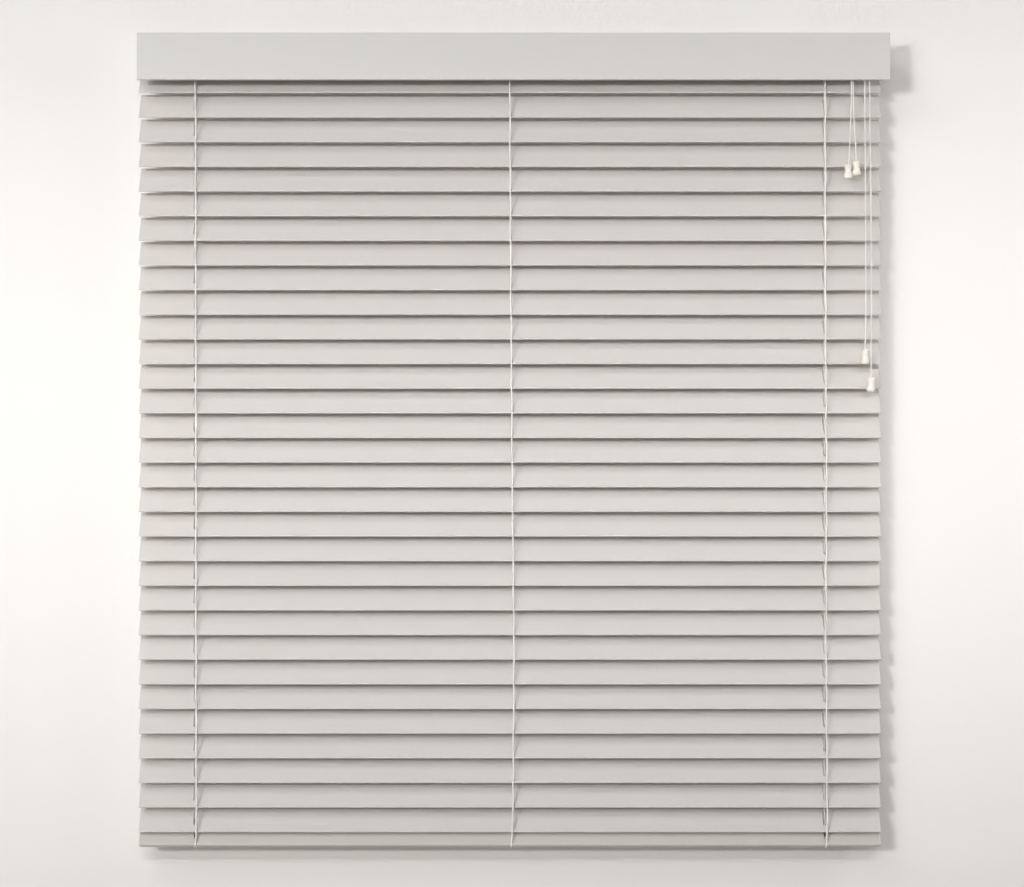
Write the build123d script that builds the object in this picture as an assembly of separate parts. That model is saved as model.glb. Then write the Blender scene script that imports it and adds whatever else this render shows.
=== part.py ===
from build123d import *
import math
import os

# Slats
slat_count = 31
slat_length = 1190.0
slat_width = 50.0
slat_thick = 2.8
slat_pitch = 39.53
first_slat_drop = 73.0
slat_tilt = 52.0
rout_length = 26.0
rout_width = 5.0
rout_corner = 1.6

# Ladders
ladder_inset = 89.0
string_dia = 1.8
string_gap = 0.6
string_top_drop = 44.0
string_foot_rise = 8.0

# Bottom rail
rail_gap = 22.1
rail_thick = 8.0
rail_wall = 1.5
rail_corner = 2.5
rail_slot_width = 3.0
rail_cap_thick = 2.0
rail_cap_plug = 8.0
plug_dia = 8.0
plug_head_dia = 15.0
plug_head_thick = 1.6

# Headrail channel
channel_end_set = 5.5
channel_depth = 57.0
channel_height = 44.0
channel_wall = 0.8
channel_bend = 2.0
channel_lip = 6.0
channel_drop = 2.0
channel_cap_thick = 1.6
channel_cap_plug = 5.0
channel_cap_wall = 1.8
channel_cap_height = 34.0
floor_slot_width = 8.0

# Fixing brackets
bracket_inset = 165.0
bracket_width = 40.0
bracket_sheet = 2.0
bracket_bend = 3.0
wall_gap = 3.5
bracket_back_height = 46.0
top_hole_spacing = 24.0
back_hole_spacing = 22.0
back_hole_drop = 25.0
fixing_hole_dia = 5.0
claw_reach = 4.0
claw_gap = 0.1
claw_width = 16.0
claw_sheet = 1.4

# Valance and its clips
valance_overhang = 5.0
valance_shift = 6.0
valance_height = 75.0
valance_thick = 9.0
valance_gap = 9.0
valance_drop = 0.6
valance_edge = 1.2
groove_drop = 20.5
groove_mouth = 8.0
groove_mouth_depth = 1.8
groove_height = 14.0
groove_depth = 2.2
clip_inset = 265.0
clip_width = 22.0
clip_sheet = 1.6
clip_hook = 1.2
clip_height = 38.0
clip_fit = 0.4

# Tilt rod, ladder drums and cradles
rod_side = 6.0
rod_drop = 22.0
rod_left_extra = 24.0
rod_right_extra = 13.1
rod_fit = 0.05
drum_radius = 9.0
drum_core_radius = 7.0
drum_length = 10.0
drum_groove_width = 5.0
hub_radius = 5.0
bearing_fit = 0.15
cradle_half = 9.5
cradle_wall = 2.0
cradle_inner_half = 7.0
cradle_foot = 1.5
cradle_shoulder_half = 12.0
cradle_top_drop = 13.0
cradle_round = 5.0
cradle_hole_dia = 6.0
cord_notch_half = 4.0
cord_notch_height = 6.5
string_slot_half = 1.4
string_slot_inner = 9.6
cradle_side_gap = 0.3

# Tilter
tilter_inset = 43.6
tilter_width = 22.0
tilter_back = 11.0
tilter_top_drop = 10.0
housing_wall = 1.4
housing_gap = 1.3
nose_width = 20.0
nose_reach = 7.8
nose_foot_drop = 45.8
tilter_nose_top_drop = 26.0
opening_fit = 0.3
worm_drop = 36.0
worm_radius = 4.4
worm_shaft_radius = 2.4
worm_end_gap = 1.0
worm_back = 8.5
pulley_radius = 7.0
pulley_groove_radius = 5.8
pulley_width = 4.0
pulley_rim = 1.0
pulley_room = 0.8
gear_teeth = 16
gear_root_radius = 8.0
gear_tip_radius = 9.2
gear_width = 7.0
tooth_foot_share = 0.62
tooth_tip_share = 0.34

# Cord lock
lock_inset = 17.5
lock_width = 23.5
lock_back_gap = 3.7
lock_top_drop = 22.0
lock_nose_top_drop = 34.0
pawl_y = 14.0
pawl_drop = 30.0
pawl_axle_radius = 1.6
pawl_hub_radius = 3.4
pawl_tip_radius = 1.4
pawl_end_gap = 0.5

# Cords and tassels
cord_dia = 2.0
cord_fit = 0.4
cord_reach = 4.0
cord_run_drop = 41.0
cord_bend = 6.0
nose_bend = 3.0
left_run_set = 5.0
right_run_set = 10.0
run_turn_x = 20.0
run_step_x = 7.5
knot_radius = 2.2
tilt_exit_half = 2.0
tilt_tassel_left_set = 5.3
tilt_tassel_right_set = 7.7
tilt_tassel_left_drop = 209.0
tilt_tassel_right_drop = 204.0
lift_exit_left_set = 5.3
lift_exit_right_set = 1.4
lift_tassel_left_set = 4.2
lift_tassel_right_set = 5.0
lift_tassel_left_drop = 505.5
lift_tassel_right_drop = 549.6
tassel_height = 23.0
tassel_top_radius = 5.2
tassel_waist_radius = 4.5
tassel_bulge_radius = 6.6
tassel_base_radius = 5.6
tassel_bore_radius = 1.3
tassel_recess_radius = 2.9
tassel_recess_depth = 6.0
tassel_edge = 0.6
rim_share = 0.12
waist_share = 0.36
neck_share = 0.50
flare_share = 0.80
bulge_share = 0.92

# Cuts run past the faces they open by this much
overrun = 4.0

# Lengths and places that follow from the slats, so that a wider or taller blind stays whole
rail_drop = first_slat_drop + (slat_count - 1) * slat_pitch + rail_gap
rail_length = slat_length - 2 * rail_cap_thick
channel_length = slat_length - 2 * channel_end_set
valance_length = slat_length + 2 * valance_overhang
bracket_x = slat_length / 2 - bracket_inset
clip_x = slat_length / 2 - clip_inset
ladder_x = slat_length / 2 - ladder_inset
tilter_x = channel_length / 2 - tilter_inset
lock_x = channel_length / 2 - lock_inset
lift_exit_left_x = lock_x - lift_exit_left_set
lift_exit_right_x = lock_x + lift_exit_right_set

# Places that follow from the channel's depth
channel_inner_half = channel_depth / 2 - channel_wall
wall_plane = channel_depth / 2 + wall_gap
valance_back = channel_depth / 2 + valance_gap
nose_front = channel_depth / 2 + nose_reach
cord_plane = channel_depth / 2 + cord_reach
lock_back = channel_inner_half - lock_back_gap
left_run_y = lock_back - left_run_set
right_run_y = lock_back - right_run_set
worm_front = channel_inner_half - housing_gap - housing_wall - worm_end_gap

# Other values that follow from the dimensions above
edge_radius = slat_thick / 2
edge_reach = slat_width / 2 - edge_radius
string_radius = string_dia / 2
string_offset = edge_radius + string_gap + string_radius
cord_radius = cord_dia / 2
ladder_xs = (-ladder_x, 0, ladder_x)
lifted_xs = (-ladder_x, ladder_x)
channel_foot = -channel_drop - channel_height
channel_floor = channel_foot + channel_wall
mouth_half = channel_depth / 2 - channel_lip
rout_tilt = Rot(X=slat_tilt)


def block(x_low, x_high, y_low, y_high, z_low, z_high):
    middle = Pos((x_low + x_high) / 2, (y_low + y_high) / 2, (z_low + z_high) / 2)
    return middle * Box(x_high - x_low, y_high - y_low, z_high - z_low)


def bar(start, end, radius):
    start = Vector(*start)
    run = Vector(*end) - start
    along = Plane(origin=start, z_dir=run)
    return along * Cylinder(radius, run.length, align=(Align.CENTER, Align.CENTER, Align.MIN))


def cord_along(name, points, radius, bends):
    path = FilletPolyline(*points, radius=bends)
    start = Plane(origin=path @ 0, z_dir=path % 0)
    cord = sweep(start * Circle(radius), path=path)
    share = cord.volume / (math.pi * radius ** 2 * path.length)
    print(f"{name}: bends of {bends} mm, length {path.length:.0f} mm, volume {share:.4f} of section times length")
    return cord


def along_x(section, x_low, x_high):
    # A section drawn with its first axis along Y and its second along Z
    return Pos(x_low, 0, 0) * extrude(Plane.YZ * section, x_high - x_low)


def make_slat():
    section = SlotOverall(slat_width, slat_thick)
    slat = along_x(section, -slat_length / 2, slat_length / 2)
    rout = Rectangle(rout_width, rout_length)
    rout = chamfer(rout.vertices(), rout_corner)
    for x in lifted_xs:
        slat -= Pos(x, 0, 0) * extrude(rout, overrun, both=True)
    return slat


def make_slats():
    flat = make_slat()
    slats = {}
    for i in range(slat_count):
        drop = first_slat_drop + i * slat_pitch
        slats[f"slat_{i + 1:02d}"] = Pos(0, 0, -drop) * rout_tilt * flat
    return slats


def make_bottom_rail():
    outer = RectangleRounded(slat_width, rail_thick, rail_corner)
    core = RectangleRounded(slat_width - 2 * rail_wall, rail_thick - 2 * rail_wall, rail_corner - rail_wall)
    rail = along_x(outer - core, -rail_length / 2, rail_length / 2)
    slot = Rectangle(rail_slot_width, rout_length)
    for x in lifted_xs:
        rail -= Pos(x, 0, rail_thick / 2) * extrude(slot, rail_wall + rail_corner / 2, both=True)
    for x in ladder_xs:
        rail -= Pos(x, 0, -rail_thick / 2) * Cylinder(plug_dia / 2, 2 * rail_wall)
    return Pos(0, 0, -rail_drop) * rout_tilt * rail


def make_rail_caps():
    face = RectangleRounded(slat_width, rail_thick, rail_corner)
    core = RectangleRounded(slat_width - 2 * rail_wall, rail_thick - 2 * rail_wall, rail_corner - rail_wall)
    end = rail_length / 2
    cap = along_x(face, end, end + rail_cap_thick) + along_x(core, end - rail_cap_plug, end)
    hollow = offset(core, -rail_wall)
    cap -= along_x(hollow, end - rail_cap_plug - overrun, end)
    cap = chamfer(cap.faces().sort_by(Axis.X)[-1].edges(), rail_cap_thick / 3)
    place = Pos(0, 0, -rail_drop) * rout_tilt
    return [place * cap, place * Rot(Z=180) * cap]


def make_rail_plugs():
    under = -rail_thick / 2
    shank = Pos(0, 0, under + rail_wall / 2) * Cylinder(plug_dia / 2, rail_wall)
    head = Pos(0, 0, under - plug_head_thick / 2) * Cylinder(plug_head_dia / 2, plug_head_thick)
    head = chamfer(head.faces().sort_by(Axis.Z)[0].edges(), plug_head_thick / 2)
    place = Pos(0, 0, -rail_drop) * rout_tilt
    return [place * Pos(x, 0, 0) * (head + shank) for x in ladder_xs]


def make_ladder_strings(side):
    # side is -1 for the front strings and 1 for the back strings
    tilt = math.radians(slat_tilt)
    y = side * (edge_reach * math.cos(tilt) + string_offset)
    foot = -rail_drop + side * edge_reach * math.sin(tilt) + string_foot_rise
    return [bar((x, y, foot), (x, y, -string_top_drop), string_radius) for x in ladder_xs]


def make_headrail():
    middle = channel_foot + channel_height / 2
    outer = RectangleRounded(channel_depth, channel_height, channel_bend)
    inside = RectangleRounded(
        channel_depth - 2 * channel_wall, channel_height - 2 * channel_wall, channel_bend - channel_wall
    )
    mouth = Pos(0, channel_height / 2) * Rectangle(2 * mouth_half, overrun)
    section = Pos(0, middle) * (outer - inside - mouth)
    rail = along_x(section, -channel_length / 2, channel_length / 2)
    half = floor_slot_width / 2
    for x in ladder_xs:
        rail -= block(x - half, x + half, -channel_inner_half, channel_inner_half,
                      channel_foot - overrun, channel_floor + channel_bend)
    for x, top in ((tilter_x, tilter_nose_top_drop), (lock_x, lock_nose_top_drop)):
        reach = nose_width / 2 + opening_fit
        back = -channel_inner_half + housing_gap + housing_wall + opening_fit
        rail -= block(x - reach, x + reach, -channel_depth / 2 - overrun, back,
                      channel_foot - overrun, -top + opening_fit)
    return rail


def make_headrail_caps():
    end = channel_length / 2
    middle = channel_foot + channel_height / 2
    plate = RectangleRounded(channel_depth, channel_height, channel_bend)
    cap = along_x(Pos(0, middle) * plate, end, end + channel_cap_thick)
    frame_height = channel_cap_height
    frame_middle = channel_floor + frame_height / 2
    frame = Rectangle(2 * channel_inner_half, frame_height)
    frame = chamfer(frame.vertices().group_by(Axis.Y)[0], channel_bend)
    frame -= Rectangle(2 * channel_inner_half - 2 * channel_cap_wall, frame_height - 2 * channel_cap_wall)
    cap += along_x(Pos(0, frame_middle) * frame, end - channel_cap_plug, end)
    return [cap, Rot(Z=180) * cap]


def make_brackets():
    half = bracket_width / 2
    front = -channel_depth / 2
    radius = bracket_bend
    section = make_face(
        FilletPolyline((front, 0), (wall_plane, 0), (wall_plane, -bracket_back_height), radius=radius)
        + Polyline((wall_plane, -bracket_back_height),
                   (wall_plane - bracket_sheet, -bracket_back_height))
        + FilletPolyline((wall_plane - bracket_sheet, -bracket_back_height),
                         (wall_plane - bracket_sheet, -bracket_sheet),
                         (front, -bracket_sheet), radius=radius - bracket_sheet)
        + Line((front, -bracket_sheet), (front, 0))
    )
    shape = along_x(section, -half, half)
    lip_under = -channel_drop - channel_wall - claw_gap
    for side in (-1, 1):
        root = side * (mouth_half - claw_sheet / 2)
        inner = root - side * claw_sheet
        outer = root + side * claw_reach
        low = lip_under - claw_sheet
        tabs = block(-claw_width / 2, claw_width / 2, min(inner, root), max(inner, root), low, -bracket_sheet)
        tabs += block(-claw_width / 2, claw_width / 2, min(inner, outer), max(inner, outer), low, lip_under)
        shape += tabs
    hole = fixing_hole_dia / 2
    for y in (-top_hole_spacing / 2, top_hole_spacing / 2):
        shape -= Pos(0, y, -bracket_sheet / 2) * Cylinder(hole, bracket_sheet + overrun)
    for step in (-back_hole_spacing / 2, back_hole_spacing / 2):
        drill = Rot(X=90) * Cylinder(hole, bracket_sheet + overrun)
        shape -= Pos(0, wall_plane - bracket_sheet / 2, -back_hole_drop + step) * drill
    return {
        "bracket_left": Pos(-bracket_x, 0, 0) * shape,
        "bracket_right": Pos(bracket_x, 0, 0) * shape,
    }


def make_valance():
    middle_y = -valance_back - valance_thick / 2
    middle_z = -valance_drop - valance_height / 2
    section = Pos(middle_y, middle_z) * RectangleRounded(valance_thick, valance_height, valance_edge)
    mouth_y = -valance_back - groove_mouth_depth / 2
    section -= Pos(mouth_y, -groove_drop) * Rectangle(groove_mouth_depth + valance_edge, groove_mouth)
    groove_y = -valance_back - groove_mouth_depth - groove_depth / 2
    section -= Pos(groove_y, -groove_drop) * Rectangle(groove_depth, groove_height)
    return along_x(section, valance_shift - valance_length / 2, valance_shift + valance_length / 2)


def make_valance_clips():
    front = -channel_depth / 2
    top = -channel_drop
    plate_front = front - clip_sheet
    lug_y = -valance_back - groove_mouth_depth - clip_fit
    lug_back = lug_y - clip_sheet + clip_fit
    half = groove_mouth / 2 - clip_fit
    lug_half = groove_height / 2 - clip_fit
    section = Pos((plate_front + front) / 2, top - clip_height / 2) * Rectangle(clip_sheet, clip_height)
    hook_end = -mouth_half + clip_sheet
    section += Pos((plate_front + hook_end) / 2, top + clip_hook / 2) * Rectangle(
        hook_end - plate_front, clip_hook)
    section += Pos(hook_end - clip_sheet / 4, top - clip_hook / 2) * Rectangle(clip_sheet / 2, 3 * clip_hook)
    section += Pos((plate_front + lug_back) / 2, -groove_drop) * Rectangle(plate_front - lug_back, 2 * half)
    section += Pos((lug_y + lug_back) / 2, -groove_drop) * Rectangle(lug_y - lug_back, 2 * lug_half)
    clip = along_x(section, -clip_width / 2, clip_width / 2)
    return [Pos(x, 0, 0) * clip for x in (-clip_x, 0, clip_x)]


def make_tilt_rod():
    half = rod_side / 2
    left = -ladder_x - rod_left_extra
    right = tilter_x + rod_right_extra
    return block(left, right, -half, half, -rod_drop - half, -rod_drop + half)


def rod_hole(length):
    side = rod_side + 2 * rod_fit
    return Box(length, side, side)


def make_ladder_drums():
    drum = Rot(Y=90) * Cylinder(drum_radius, drum_length)
    groove = Rot(Y=90) * Cylinder(drum_radius + overrun, drum_groove_width)
    groove -= Rot(Y=90) * Cylinder(drum_core_radius, drum_groove_width)
    drum -= groove
    drum += Rot(Y=90) * Cylinder(hub_radius, 2 * cradle_half)
    drum -= rod_hole(2 * cradle_half + overrun)
    return [Pos(x, 0, -rod_drop) * drum for x in ladder_xs]


def make_drum_cradles():
    foot_top = channel_floor + cradle_foot
    side_half = channel_inner_half - cradle_side_gap
    cradle = block(-cradle_half, cradle_half, -side_half, side_half, channel_floor, foot_top)
    cradle = chamfer(cradle.edges().filter_by(Axis.X).group_by(Axis.Z)[0], channel_bend - channel_wall)
    for side in (-1, 1):
        ends = sorted((side * string_slot_inner, side * (side_half + overrun)))
        cradle -= block(-string_slot_half, string_slot_half, ends[0], ends[1],
                        channel_floor - overrun, foot_top + overrun)
    cradle -= Pos(0, 0, channel_floor) * Cylinder(cradle_hole_dia / 2, 2 * overrun)
    wall_height = -cradle_top_drop - channel_floor
    shoulder = Pos(0, channel_floor + wall_height / 2) * Rectangle(2 * cradle_shoulder_half, wall_height)
    shoulder = fillet(shoulder.vertices().group_by(Axis.Y)[-1], cradle_round)
    shoulder -= Pos(0, -rod_drop) * Circle(hub_radius + bearing_fit)
    notch_top = foot_top + cord_notch_height
    notch = Pos(0, (foot_top + notch_top) / 2) * Rectangle(2 * cord_notch_half, notch_top - foot_top)
    shoulder -= notch
    for x in (-cradle_inner_half - cradle_wall, cradle_inner_half):
        cradle += along_x(shoulder, x, x + cradle_wall)
    return [Pos(x, 0, 0) * cradle for x in ladder_xs]


def make_tilter_housing():
    low = tilter_x - tilter_width / 2
    high = tilter_x + tilter_width / 2
    front = -channel_inner_half + housing_gap
    half = nose_width / 2
    body = block(low, high, front, tilter_back, channel_floor, -tilter_top_drop)
    upright = body.edges().filter_by(Axis.Z)
    body = fillet(upright, housing_wall)
    nose = block(tilter_x - half, tilter_x + half, -nose_front, front + housing_wall,
                 -nose_foot_drop, -tilter_nose_top_drop)
    nose = fillet(nose.faces().sort_by(Axis.Y)[0].edges(), housing_wall)
    body += nose
    room_low = low + housing_wall
    room_high = high - housing_wall
    body -= block(room_low, room_high, front + housing_wall, tilter_back - housing_wall,
                  channel_floor + housing_wall, overrun)
    pulley_y = -cord_plane
    reach = pulley_width / 2 + pulley_room
    body -= bar((tilter_x, pulley_y - reach, -worm_drop), (tilter_x, pulley_y + reach, -worm_drop),
                pulley_radius + pulley_room)
    body -= bar((tilter_x, pulley_y, -worm_drop), (tilter_x, tilter_back + overrun, -worm_drop),
                worm_shaft_radius + bearing_fit)
    body -= bar((low - overrun, 0, -rod_drop), (high + overrun, 0, -rod_drop), hub_radius + bearing_fit)
    for side in (-1, 1):
        x = tilter_x + side * tilt_exit_half
        body -= bar((x, pulley_y, -nose_foot_drop - overrun), (x, pulley_y, -worm_drop),
                    cord_radius + cord_fit)
    return body


def make_tilt_gear():
    gear = Circle(gear_root_radius)
    step = 2 * math.pi / gear_teeth
    foot_half = gear_root_radius * step * tooth_foot_share / 2
    tip_half = gear_tip_radius * step * tooth_tip_share / 2
    sink = gear_root_radius * math.cos(step / 2)
    tooth = make_face(Polyline((sink, -foot_half), (gear_tip_radius, -tip_half),
                               (gear_tip_radius, tip_half), (sink, foot_half), close=True))
    for place in PolarLocations(0, gear_teeth):
        gear += place * tooth
    solid = along_x(gear, -gear_width / 2, gear_width / 2)
    solid += Rot(Y=90) * Cylinder(hub_radius, tilter_width)
    solid -= rod_hole(tilter_width + overrun)
    return Pos(tilter_x, 0, -rod_drop) * solid


def make_tilt_worm():
    # The shaft and its pulley turn about an axis along Y; the section is drawn beside that axis
    def ring(y_low, y_high, radius):
        return Pos((y_low + y_high) / 2, radius / 2) * Rectangle(y_high - y_low, radius)

    pulley_front = -cord_plane - pulley_width / 2
    pulley_end = -cord_plane + pulley_width / 2
    groove_front = pulley_front + pulley_rim
    groove_end = pulley_end - pulley_rim
    section = ring(pulley_front, tilter_back, worm_shaft_radius)
    section += ring(-worm_front, worm_back, worm_radius)
    section += ring(pulley_front, pulley_end, pulley_groove_radius)
    for inner, outer in ((groove_front, pulley_front), (groove_end, pulley_end)):
        section += make_face(Polyline((inner, 0), (inner, pulley_groove_radius), (outer, pulley_radius),
                                      (outer, 0), close=True))
    solid = revolve(Plane.YX * section, Axis.Y)
    return Pos(tilter_x, 0, -worm_drop) * solid


def make_cord_lock_body():
    low = lock_x - lock_width / 2
    high = lock_x + lock_width / 2
    front = -channel_inner_half + housing_gap
    half = nose_width / 2
    body = block(low, high, front, lock_back, channel_floor, -lock_top_drop)
    body = fillet(body.edges().filter_by(Axis.Z), housing_wall)
    nose = block(lock_x - half, lock_x + half, -nose_front, front + housing_wall,
                 -nose_foot_drop, -lock_nose_top_drop)
    nose = fillet(nose.faces().sort_by(Axis.Y)[0].edges(), housing_wall)
    body += nose
    body -= block(low + housing_wall, high - housing_wall, front + housing_wall, lock_back - housing_wall,
                  channel_floor + housing_wall, overrun)
    body -= block(lock_x - half + housing_wall, lock_x + half - housing_wall,
                  -nose_front + housing_wall, front - housing_wall,
                  -nose_foot_drop + housing_wall, -lock_nose_top_drop - housing_wall)
    hole = cord_radius + cord_fit
    for x in (lift_exit_left_x, lift_exit_right_x):
        body -= bar((x, front + housing_wall + overrun, -cord_run_drop),
                    (x, -cord_plane, -cord_run_drop), hole)
        body -= bar((x, -cord_plane, -nose_foot_drop - overrun), (x, -cord_plane, -cord_run_drop), hole)
    for y in (right_run_y, left_run_y):
        body -= bar((low - overrun, y, -cord_run_drop), (lock_x, y, -cord_run_drop), hole)
    body -= bar((low - overrun, -pawl_y, -pawl_drop), (high + overrun, -pawl_y, -pawl_drop),
                pawl_axle_radius + bearing_fit)
    return body


def make_cord_lock_pawl():
    tip_centre = -cord_run_drop + cord_radius + claw_gap * 2 + pawl_tip_radius
    section = make_hull(
        (Pos(-pawl_y, -pawl_drop) * Circle(pawl_hub_radius)).edges()
        + (Pos(-pawl_y, tip_centre) * Circle(pawl_tip_radius)).edges()
    )
    reach = lock_width / 2 - housing_wall - pawl_end_gap
    pawl = along_x(section, lock_x - reach, lock_x + reach)
    end = lock_width / 2
    pawl += bar((lock_x - end, -pawl_y, -pawl_drop), (lock_x + end, -pawl_y, -pawl_drop), pawl_axle_radius)
    return pawl


def make_lift_runs():
    # Each cord is knotted in the bottom rail, rises through the slots and runs along the headrail to the lock
    runs = {}
    ends = (("lift_cord_left", -ladder_x, left_run_y, lift_exit_right_x),
            ("lift_cord_right", ladder_x, right_run_y, lift_exit_left_x))
    bends = (cord_bend, cord_bend, cord_bend, cord_bend, nose_bend)
    for name, x, run_y, exit_x in ends:
        points = [(x, 0, -rail_drop), (x, 0, -cord_run_drop), (x + run_step_x + cradle_wall, 0, -cord_run_drop),
                  (x + run_step_x + run_turn_x, run_y, -cord_run_drop), (exit_x, run_y, -cord_run_drop),
                  (exit_x, -cord_plane, -cord_run_drop), (exit_x, -cord_plane, -nose_foot_drop)]
        cord = cord_along(name, points, cord_radius, bends)
        cord += Pos(x, 0, -rail_drop) * Sphere(knot_radius)
        runs[name] = cord
    return runs


def make_tassel():
    # The tassel hangs below its own origin, with the cord's bore on its axis; its side is turned in tapers
    height = tassel_height
    section = make_face(Polyline(
        (tassel_bore_radius, 0), (tassel_top_radius - tassel_edge, 0), (tassel_top_radius, -tassel_edge),
        (tassel_top_radius, -rim_share * height), (tassel_waist_radius, -waist_share * height),
        (tassel_waist_radius, -neck_share * height), (tassel_bulge_radius, -flare_share * height),
        (tassel_bulge_radius, -bulge_share * height), (tassel_base_radius, -height),
        (tassel_recess_radius, -height), (tassel_recess_radius, -height + tassel_recess_depth),
        (tassel_bore_radius, -height + tassel_recess_depth), close=True))
    return revolve(Plane.XZ * section, Axis.Z)


def make_pulls():
    # Free cords with their tassels, each hanging in a straight line from its exit
    tassel = make_tassel()
    hangs = (
        ("tilt_cord_left", "tilt_tassel_left", tilter_x - tilt_exit_half,
         tilter_x - tilt_tassel_left_set, tilt_tassel_left_drop),
        ("tilt_cord_right", "tilt_tassel_right", tilter_x + tilt_exit_half,
         tilter_x + tilt_tassel_right_set, tilt_tassel_right_drop),
        ("lift_pull_left", "lift_tassel_left", lift_exit_left_x,
         lock_x - lift_tassel_left_set, lift_tassel_left_drop),
        ("lift_pull_right", "lift_tassel_right", lift_exit_right_x,
         lock_x + lift_tassel_right_set, lift_tassel_right_drop),
    )
    pulls = {}
    for cord_name, tassel_name, exit_x, tassel_x, drop in hangs:
        start = Vector(exit_x, -cord_plane, -nose_foot_drop)
        top = Vector(tassel_x, -cord_plane, -drop)
        lean = (top - start).normalized()
        knot = top + lean * (tassel_height - tassel_recess_depth + knot_radius)
        cord = bar(tuple(start), tuple(knot), cord_radius) + Pos(*knot) * Sphere(knot_radius)
        pulls[cord_name] = cord
        pulls[tassel_name] = Plane(origin=top, x_dir=(-lean.Z, 0, lean.X), z_dir=-lean) * tassel
    return pulls


def make_nodes():
    nodes = make_slats()
    nodes["bottom_rail"] = make_bottom_rail()
    nodes["rail_caps"] = make_rail_caps()
    nodes["rail_plugs"] = make_rail_plugs()
    nodes["ladder_front"] = make_ladder_strings(-1)
    nodes["ladder_back"] = make_ladder_strings(1)
    nodes["headrail"] = make_headrail()
    nodes["headrail_caps"] = make_headrail_caps()
    nodes.update(make_brackets())
    nodes["valance"] = make_valance()
    nodes["valance_clips"] = make_valance_clips()
    nodes["tilt_rod"] = make_tilt_rod()
    nodes["ladder_drums"] = make_ladder_drums()
    nodes["drum_cradles"] = make_drum_cradles()
    nodes["tilter_housing"] = make_tilter_housing()
    nodes["tilt_gear"] = make_tilt_gear()
    nodes["tilt_worm"] = make_tilt_worm()
    nodes["cord_lock_body"] = make_cord_lock_body()
    nodes["cord_lock_pawl"] = make_cord_lock_pawl()
    nodes.update(make_lift_runs())
    nodes.update(make_pulls())
    return nodes


os.makedirs("parts", exist_ok=True)
for name, shape in make_nodes().items():
    if isinstance(shape, list):
        shape = Compound(children=shape)
    export_step(shape, f"parts/{name}.step")
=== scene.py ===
import math

import bpy
from mathutils import Matrix, Vector


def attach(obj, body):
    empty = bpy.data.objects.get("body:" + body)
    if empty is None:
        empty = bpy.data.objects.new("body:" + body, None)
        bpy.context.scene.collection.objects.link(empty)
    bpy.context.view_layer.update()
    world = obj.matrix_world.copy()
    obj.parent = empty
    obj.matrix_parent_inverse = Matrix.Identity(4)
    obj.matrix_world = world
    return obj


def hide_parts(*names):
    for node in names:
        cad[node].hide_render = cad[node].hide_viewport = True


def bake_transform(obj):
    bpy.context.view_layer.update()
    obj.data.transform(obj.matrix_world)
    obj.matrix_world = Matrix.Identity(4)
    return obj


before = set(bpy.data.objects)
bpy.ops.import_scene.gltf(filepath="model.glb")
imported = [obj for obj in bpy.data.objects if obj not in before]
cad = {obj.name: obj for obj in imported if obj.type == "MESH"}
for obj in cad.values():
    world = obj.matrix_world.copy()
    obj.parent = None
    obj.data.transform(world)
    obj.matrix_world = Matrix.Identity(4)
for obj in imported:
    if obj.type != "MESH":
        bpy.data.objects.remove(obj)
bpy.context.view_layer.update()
scene = bpy.context.scene
rootBody = "headrail_assembly"

# Sizes that the pieces share, in metres, as the solids have them
blind = {
    "slatCount": 31,
    "slatPitch": 0.03953,
    "firstDrop": 0.073,
    "tilt": math.radians(52),
    "slatThick": 0.0028,
    "edgeReach": 0.0236,
    "stringOffset": 0.0029,
    "stringTop": -0.044,
    "stringFootRise": 0.008,
    "railDrop": 1.281,
    "railThick": 0.008,
    "railHalf": 0.025,
    "ladderXs": (-0.506, 0.0, 0.506),
}


def linear(hexText):
    values = []
    for i in (0, 2, 4):
        c = int(hexText[i:i + 2], 16) / 255
        values.append(c / 12.92 if c <= 0.04045 else ((c + 0.055) / 1.055) ** 2.4)
    return (*values, 1.0)


# One helper for shader and geometry nodes: inputs are values or sockets, by name or number
def addNode(tree, kind, inputs=None, **settings):
    made = tree.nodes.new(kind)
    for key, value in settings.items():
        setattr(made, key, value)
    for key, value in (inputs or {}).items():
        socket = made.inputs[key]
        if isinstance(value, bpy.types.NodeSocket):
            tree.links.new(value, socket)
        else:
            socket.default_value = value
    return made


def newMaterial(name, roughness, ior=1.5, metallic=0.0, **sockets):
    made = bpy.data.materials.new(name)
    made.use_nodes = True
    tree = made.node_tree
    shader = tree.nodes["Principled BSDF"]
    shader.inputs["Roughness"].default_value = roughness
    shader.inputs["IOR"].default_value = ior
    shader.inputs["Metallic"].default_value = metallic
    for key, value in sockets.items():
        shader.inputs[key.replace("_", " ")].default_value = value
    return made, tree, shader


# Colour between two hex values by a 0 to 1 socket
def toneBetween(tree, shader, factor, dark, light):
    mix = addNode(tree, "ShaderNodeMix", {0: factor}, data_type="RGBA")
    mix.inputs[6].default_value = linear(dark)
    mix.inputs[7].default_value = linear(light)
    tree.links.new(mix.outputs[2], shader.inputs["Base Color"])


def roughBetween(tree, shader, factor, low, high):
    span = addNode(tree, "ShaderNodeMapRange", {"Value": factor, "To Min": low, "To Max": high})
    tree.links.new(span.outputs[0], shader.inputs["Roughness"])


def bumpFrom(tree, shader, height, distance, strength=1.0):
    bump = addNode(tree, "ShaderNodeBump", {"Strength": strength, "Distance": distance, "Height": height})
    tree.links.new(bump.outputs[0], shader.inputs["Normal"])


# Noise with a grain of the given size in millimetres
def noiseOf(tree, place, sizeMm, detail=2.0):
    return addNode(tree, "ShaderNodeTexNoise", {"Vector": place, "Scale": 1000 / sizeMm, "Detail": detail}).outputs[0]


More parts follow.
